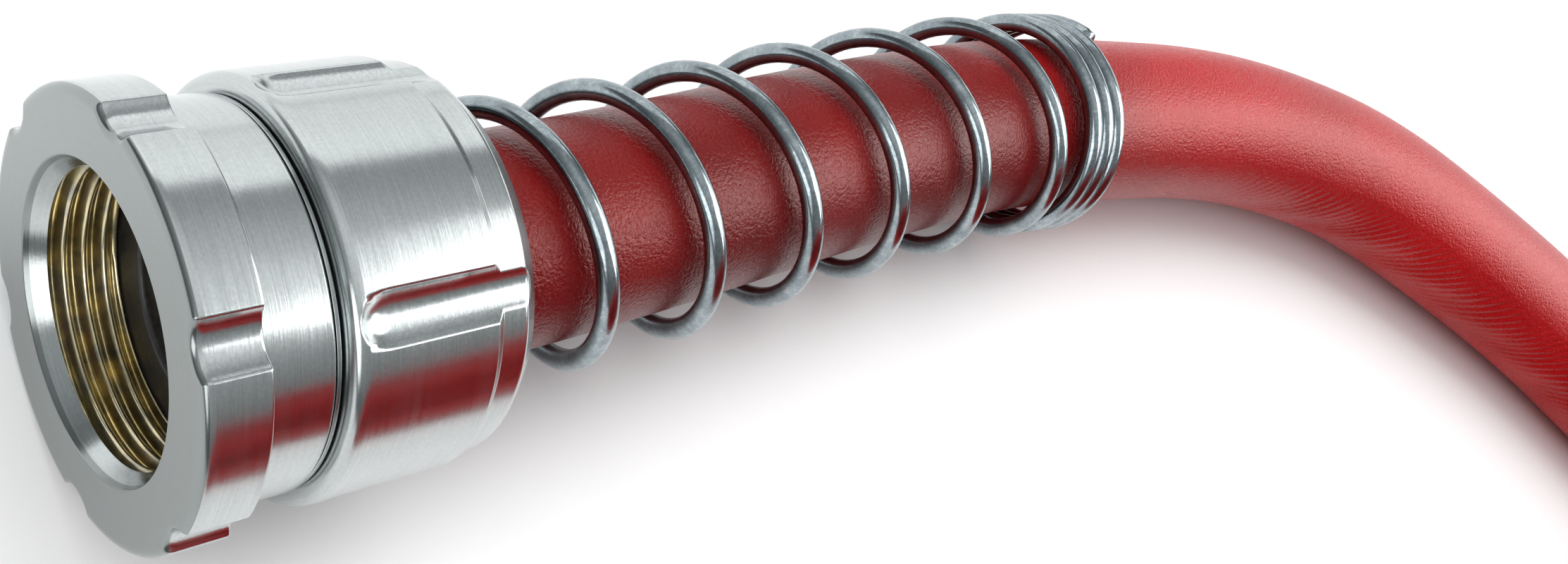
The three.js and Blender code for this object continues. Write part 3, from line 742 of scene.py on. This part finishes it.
def guard_spring(name, route, matrix):
    line = catmull([(30, 0, RING_R)] + route[:12], 24)
    heading = np.gradient(line, axis=0)
    stretch = (SPRING_END - SPRING_WIRE_R - SPRING_START) / spring_advance(SPRING_TURNS)
    turns = np.linspace(0, SPRING_TURNS, int(SPRING_TURNS * 72))
    station = np.array([SPRING_START + spring_advance(t) * stretch for t in turns])
    station = np.convolve(np.pad(station, 6, "edge"), np.ones(13) / 13, "valid")
    angle = (math.radians(SPRING_LAST_ANGLE) - TAU * (SPRING_TURNS - turns))[:, None]
    centre = np.stack([np.interp(station, line[:, 0], line[:, k]) for k in range(3)], 1)
    forward = np.stack([np.interp(station, line[:, 0], heading[:, k]) for k in range(3)], 1)
    forward /= np.linalg.norm(forward, axis=1)[:, None]
    level = np.stack([-forward[:, 1], forward[:, 0], np.zeros(len(forward))], 1)
    level /= np.linalg.norm(level, axis=1)[:, None]
    centre += SPRING_MEAN_R * (np.cos(angle) * level + np.sin(angle) * np.cross(forward, level))
    centre[:, 2] -= RING_R
    radius = np.full((len(centre), 16), SPRING_WIRE_R - 0.03)
    radius[0] *= 0.86
    radius[-1] *= 0.86
    return tube(name, centre, radius, 16, GALVANISED, matrix)


place_piece(guard_spring("bend_guard_spring", LEAD_ROUTE, FEMALE), "hose",
            "galvanised_steel", "guard_spring")
male_pieces.append(place_piece(guard_spring("male_end_spring", TAIL_ROUTE, MALE), "hose",
                               "galvanised_steel", "male_guard_spring"))


# ---- the hose, from the female coupling round the coil to the male end ----------------

def ease(x):
    x = min(max(x, 0), 1)
    return x * x * (3 - 2 * x)


def coil_place(turn):
    """Radius and height of the hose's centre after that many turns of the coil.

    The turns lie three abreast in three layers. In each layer the hose moves over by
    one place a turn, and at the end of a layer it climbs onto the next one."""
    width = 0.22
    quarter = math.pi / 2
    radius = COIL_RADIUS + COIL_SPACING
    height = COIL_BASE + COIL_SPACING / 2
    for at in (0.66, 1.66, 6.42, 7.42):
        radius -= COIL_SPACING * (1 - math.cos(quarter * ease((turn - at) / width)))
    for at in (3.54, 4.54):
        radius += COIL_SPACING * (1 - math.cos(quarter * ease((turn - at) / width)))
    for at in (2.66, 5.54):
        height += COIL_SPACING * math.sin(quarter * ease((turn - at) / width))
    lift = COIL_SPACING / 2 + MALE_CLEARANCE + HOSE_R + 0.2
    height += lift * math.sin(quarter * ease((turn - 8.42) / width))
    radius += COIL_SPACING * ease((turn - 8.42 - width) / 0.15)
    return radius, height


def hose_route():
    """Points of the whole hose in the part's frame, in millimetres."""
    points = [(s - HALF_LENGTH, y, z) for s, y, z in HOSE_ENDS + LEAD_ROUTE]
    for i in range(int(COIL_TURNS * POINTS_PER_TURN) + 1):
        turn = i / POINTS_PER_TURN
        radius, height = coil_place(turn)
        angle = -TAU * turn
        points.append((COIL_CENTRE[0] + radius * math.cos(angle),
                       COIL_CENTRE[1] + radius * math.sin(angle), height))
    for s, y, z in reversed(HOSE_ENDS + TAIL_ROUTE):
        p = MALE_BASE @ Vector(((s - HALF_LENGTH) * MM, y * MM, z * MM))
        points.append(tuple(v / MM for v in p))
    return catmull(points, 8)


def wrinkles(station, theta):
    """Depth of the slanting folds on the inner side of the bend behind the spring."""
    strength = np.clip((station - WRINKLES_FROM) / 60, 0, 1)
    strength *= np.clip((WRINKLES_TO - station) / 60, 0, 1)
    around = np.clip(1 - np.abs(theta - WRINKLE_MIDDLE) / WRINKLE_REACH, 0, 1)
    arc = theta * HOSE_R
    drift = 0.9 * np.sin(station / 17.0) + 0.6 * np.sin(station / 7.3 + arc / 6.0)
    phase = TAU * (station + 0.85 * arc + drift) / WRINKLE_PITCH
    uneven = 0.72 + 0.28 * np.sin(station / 5.1 + 1.7 * np.sin(arc / 4.0))
    fold = 0.5 + 0.5 * np.sin(phase + 0.5 * np.sin(phase))
    return WRINKLE_DEPTH * strength * np.sqrt(around) * uneven * fold


def hose():
    line = hose_route()
    length = along(line)
    stations = np.concatenate([
        np.arange(0, WRINKLES_FROM, 1.0), np.arange(WRINKLES_FROM, WRINKLES_TO, 0.5),
        np.arange(WRINKLES_TO, length[-1] - 300, 10.0),
        np.arange(length[-1] - 300, length[-1], 4.0), [length[-1]]])
    centre = np.stack([np.interp(stations, length, line[:, k]) for k in range(3)], 1)
    for _ in range(2):
        blend = (centre[:-2] + 2 * centre[1:-1] + centre[2:]) / 4
        even_step = (np.abs(np.diff(stations)[:-1] / np.diff(stations)[1:] - 1) < 0.01)[:, None]
        centre[1:-1] = np.where(even_step, blend, centre[1:-1])
    theta = np.radians(np.concatenate([np.arange(-46, 62, 1.5), np.arange(62, 314, 4.5)]))
    a, b = frames_on(centre)
    radius = HOSE_R - 0.05 - wrinkles(stations[:, None], theta[None, :])
    points = (centre[:, None, :] + (radius * np.cos(theta))[..., None] * a[:, None, :]
              + (radius * np.sin(theta))[..., None] * b[:, None, :])
    sides = len(theta)
    faces = grid_faces(len(centre), sides, False)
    last = (len(centre) - 1) * sides
    faces += [list(range(sides))[::-1], list(range(last, last + sides))]
    piece = add_mesh("hose", points.reshape(-1, 3), faces, RED_RUBBER)
    # Mask for the darker colour inside each spring: partly scuffing, partly painted shade of the
    # spring.
    from_end = np.minimum(stations, stations[-1] - stations)
    spring_shade_and_scuff = np.clip((SPRING_END + 6 - from_end) / 70, 0, 1)
    layer = piece.data.attributes.new("spring_shade_and_scuff", "FLOAT", "POINT")
    layer.data.foreach_set("value", np.repeat(spring_shade_and_scuff, sides))
    return piece, centre[::4] * MM


hose_piece, hose_path = hose()
place_piece(hose_piece, "hose", "red_rubber", "hose_sleeve", "hose_lead", "hose_coil",
            "hose_tail", "male_hose_sleeve")


# ---- straps and buckles ------------------------------------------------------------

BUNDLE_MIDDLE = COIL_BASE + 1.5 * COIL_SPACING
BAND_REACH = HOSE_R + 0.95
BUCKLE_WIDTH = 46
BUCKLE_HEIGHT = 34
BUCKLE_RAIL = 3.5
BUCKLE_OUT = COIL_SPACING + BAND_REACH + 3.9


def band_line():
    """The loop that a strap makes round the coil's turns: (across, height), and normals.

    Heights are from the middle of the bundle, and the loop starts on its outer side."""
    side = 2 * COIL_SPACING
    bend = math.pi / 2 * BAND_REACH
    around = 4 * (side + bend)
    points, normals = [], []
    for distance in np.arange(0, around, around / 240):
        corner, within = divmod(distance + side / 2, side + bend)
        bent = max(within - side, 0) / BAND_REACH
        x = COIL_SPACING + BAND_REACH * math.cos(bent)
        y = min(within, side) - COIL_SPACING + BAND_REACH * math.sin(bent)
        turn = math.pi / 2 * corner
        points.append((x * math.cos(turn) - y * math.sin(turn),
                       x * math.sin(turn) + y * math.cos(turn)))
        normals.append((math.cos(turn + bent), math.sin(turn + bent)))
    return np.array(points), np.array(normals)


def strap_end_line():
    """The free end, which comes up behind the buckle, over its middle bar and on up."""
    near = COIL_SPACING + BAND_REACH + STRAP_THICKNESS + 0.15
    over = BUCKLE_OUT + 0.9
    heights = [(-47, 0), (-38, 0), (-28, 0), (-19, 0), (-14.5, 0.05), (-11, 0.3), (-7.5, 0.72),
               (-4, 0.96), (0, 1), (4, 0.96), (7.5, 0.72), (11, 0.3), (14.5, 0.05), (19, 0),
               (28, 0), (38, 0), (47, 0)]
    line = catmull([(near + (over - near) * share, h) for h, share in heights], 5)
    line[:, 0] += 1.4 * np.clip((line[:, 1] - 30) / 20, 0, 1) ** 2
    ahead = np.gradient(line, axis=0)
    ahead /= np.linalg.norm(ahead, axis=1)[:, None]
    return line, np.stack([ahead[:, 1], -ahead[:, 0]], 1)


def across_coil(angle, radius, sideways, height):
    """A place given by its radius from the coil's axis and its distance to one side."""
    c, s = math.cos(math.radians(angle)), math.sin(math.radians(angle))
    forward = math.sqrt(radius * radius - sideways * sideways)
    return (COIL_CENTRE[0] + forward * c - sideways * s,
            COIL_CENTRE[1] + forward * s + sideways * c, BUNDLE_MIDDLE + height)


def webbing(name, line, normals, angle, closed):
    """A flat woven band with thinned edges that follows a line across the coil."""
    half, thick = STRAP_WIDTH / 2, STRAP_THICKNESS / 2
    section = [(half, 0), (half - 0.5, thick * 0.8), (half - 1.6, thick)]
    section += [(w, thick) for w in np.linspace(half - 4, 4 - half, 9)]
    section += [(1.6 - half, thick), (0.5 - half, thick * 0.8), (-half, 0)]
    section += [(w, -d) for w, d in section[-2:0:-1]]
    points = [across_coil(angle, COIL_RADIUS + x + nx * d, w, y + ny * d)
              for (x, y), (nx, ny) in zip(line, normals) for w, d in section]
    rows, columns = len(line), len(section)
    faces = grid_faces(rows, columns, closed)
    if not closed:
        last = (rows - 1) * columns
        faces += [list(range(columns))[::-1], list(range(last, last + columns))]
    piece = add_mesh(name, points, faces, WEBBING)
    travel = along(np.vstack([line, line[:1]]))
    layer = piece.data.uv_layers.new(name="UVMap").data
    for polygon in piece.data.polygons:
        wraps = closed and max(polygon.vertices) >= (rows - 1) * columns
        for loop in polygon.loop_indices:
            row, column = divmod(piece.data.loops[loop].vertex_index, columns)
            if wraps and row == 0:
                row = rows
            layer[loop].uv = (travel[row], section[column][0])
    return piece


def buckle(name, angle):
    """A steel slide with two windows. Its middle bar stands back from its frame."""
    w, h, rail = BUCKLE_WIDTH / 2, BUCKLE_HEIGHT / 2, BUCKLE_RAIL
    across = [-w, -w + rail] + list(np.linspace(-w + rail, w - rail, 9)[1:-1]) + [w - rail, w]
    up = [-h, -h + rail, -rail / 2, rail / 2, h - rail, h]
    work = bmesh.new()
    grid = {}
    for i, x in enumerate(across):
        for j, y in enumerate(up):
            back = 1.3 if j in (2, 3) and 0 < i < len(across) - 1 else 0
            for k, depth in enumerate((-1.3, 1.3)):
                place = across_coil(angle, COIL_RADIUS + BUCKLE_OUT - back + depth, x, y)
                grid[i, j, k] = work.verts.new([v * MM for v in place])
    cells = [(i, j) for i in range(len(across) - 1) for j in range(5)
             if j not in (1, 3) or i in (0, len(across) - 2)]
    for i, j in cells:
        ring = [(i, j), (i + 1, j), (i + 1, j + 1), (i, j + 1)]
        work.faces.new([grid[a, b, 1] for a, b in ring])
        work.faces.new([grid[a, b, 0] for a, b in reversed(ring)])
        for (a, b), (c, d), beside in zip(ring, ring[1:] + ring[:1],
                                          [(i, j - 1), (i + 1, j), (i, j + 1), (i - 1, j)]):
            if beside not in cells:
                work.faces.new([grid[a, b, 0], grid[c, d, 0], grid[c, d, 1], grid[a, b, 1]])
    bmesh.ops.recalc_face_normals(work, faces=work.faces)
    mesh = bpy.data.meshes.new(name)
    work.to_mesh(mesh)
    work.free()
    mesh.materials.append(BUCKLE_STEEL)
    piece = add_object(name, mesh)
    bevel = piece.modifiers.new("bevel", "BEVEL")
    bevel.width = 0.9 * MM
    bevel.segments = 4
    bevel.limit_method = "ANGLE"
    mesh.polygons.foreach_set("use_smooth", np.ones(len(mesh.polygons), bool))
    return piece


tied_pieces = []
for i, strap_angle in enumerate(STRAP_ANGLES, 1):
    band = webbing(f"coil_strap_{i}", *band_line(), strap_angle, True)
    end = webbing(f"coil_strap_end_{i}", *strap_end_line(), strap_angle, False)
    slide = buckle(f"coil_buckle_{i}", strap_angle)
    tied_pieces += [
        place_piece(band, "hose", "black_webbing", f"strap_{i}"),
        place_piece(end, "hose", "black_webbing", f"strap_{i}"),
        place_piece(slide, "hose", "buckle_steel", f"strap_buckle_{i}")]


male_pieces += [frame["nodes"][f"male_clamp_jaw_{i}"] for i in (1, 2, 3)]


# ---- camera, light and floor -------------------------------------------------------------

# Where the photo's camera stood, in metres: fitted to the coupling's outlines in the photo.
CAMERA_PLACE = (-HALF_LENGTH * MM - 0.0948, -0.0418, 0.2881)
CAMERA_RIGHT = (0.7249, -0.3043, 0.6179)
CAMERA_BACK = (-0.6635, -0.0674, 0.7452)
CAMERA_LENS = 40.36
LIGHTS_AIM = (0, 0, 0.03)


def add_camera():
    camera = bpy.data.cameras.new("camera")
    camera.sensor_width = 36.0
    camera.lens = CAMERA_LENS
    camera.clip_start = 0.01
    item = add_object("camera", camera)
    right = Vector(CAMERA_RIGHT).normalized()
    back = Vector(CAMERA_BACK)
    back = (back - right * back.dot(right)).normalized()
    turn = Matrix((right, back.cross(right), back)).transposed().to_4x4()
    item.matrix_world = Matrix.Translation(CAMERA_PLACE) @ turn
    bpy.context.scene.camera = item


def add_softbox(name, centre, target, size, power, shines_on):
    """A softbox that gives either its reflection ("glossy") or its light ("diffuse")."""
    light = bpy.data.lights.new(name, "AREA")
    light.shape = "RECTANGLE"
    light.size, light.size_y = size
    light.energy = power
    item = add_object(name, light)
    item.visible_glossy = shines_on == "glossy"
    item.visible_diffuse = shines_on == "diffuse"
    direction = Vector(target) - Vector(centre)
    item.matrix_world = (Matrix.Translation(centre)
                         @ direction.to_track_quat("-Z", "Y").to_matrix().to_4x4())


def add_floor():
    half = 4000
    corners = [(-half, -half, 0), (half, -half, 0), (half, half, 0), (-half, half, 0)]
    floor = add_mesh("floor", corners, [(0, 1, 2, 3)], FLOOR)


add_camera()
add_floor()
add_softbox("key_reflection", (0.95, -0.35, 0.85), LIGHTS_AIM, (0.9, 0.9), 15, "glossy")
add_softbox("back_reflection", (0.25, 1.5, 0.60), LIGHTS_AIM, (2.2, 1.2), 9, "glossy")
add_softbox("rim_reflection", (1.6, 0.0, 0.35), LIGHTS_AIM, (1.2, 0.6), 4, "glossy")
add_softbox("front_reflection", (-1.0, -0.68, 0.68), LIGHTS_AIM, (0.75, 0.75), 5, "glossy")
add_softbox("key_light", (0.35, 0.55, 1.3), LIGHTS_AIM, (1.3, 1.3), 16, "diffuse")
add_softbox("fill_light", (-0.9, 0.3, 1.1), LIGHTS_AIM, (1.2, 1.2), 10, "diffuse")


def add_world():
    """A grey studio, dark at the horizon and bright overhead."""
    world = bpy.data.worlds.new("studio")
    world.use_nodes = True
    tree = world.node_tree
    height = node(tree, "SeparateXYZ", {0: node(tree, "TexCoord").outputs["Generated"]}).outputs[2]
    sky = ramp(tree, height, (0.0, (0.13, 0.135, 0.14)), (0.25, (0.19, 0.20, 0.205)),
               (0.48, (0.33, 0.35, 0.355)), (0.75, (0.47, 0.49, 0.495)),
               (1.0, (1.00, 1.02, 1.03)))
    tree.links.new(sky, tree.nodes["Background"].inputs["Color"])
    tree.nodes["Background"].inputs["Strength"].default_value = 1.0
    bpy.context.scene.world = world


add_world()
bpy.context.scene.view_settings.view_transform = "Standard"

bpy.context.view_layer.update()
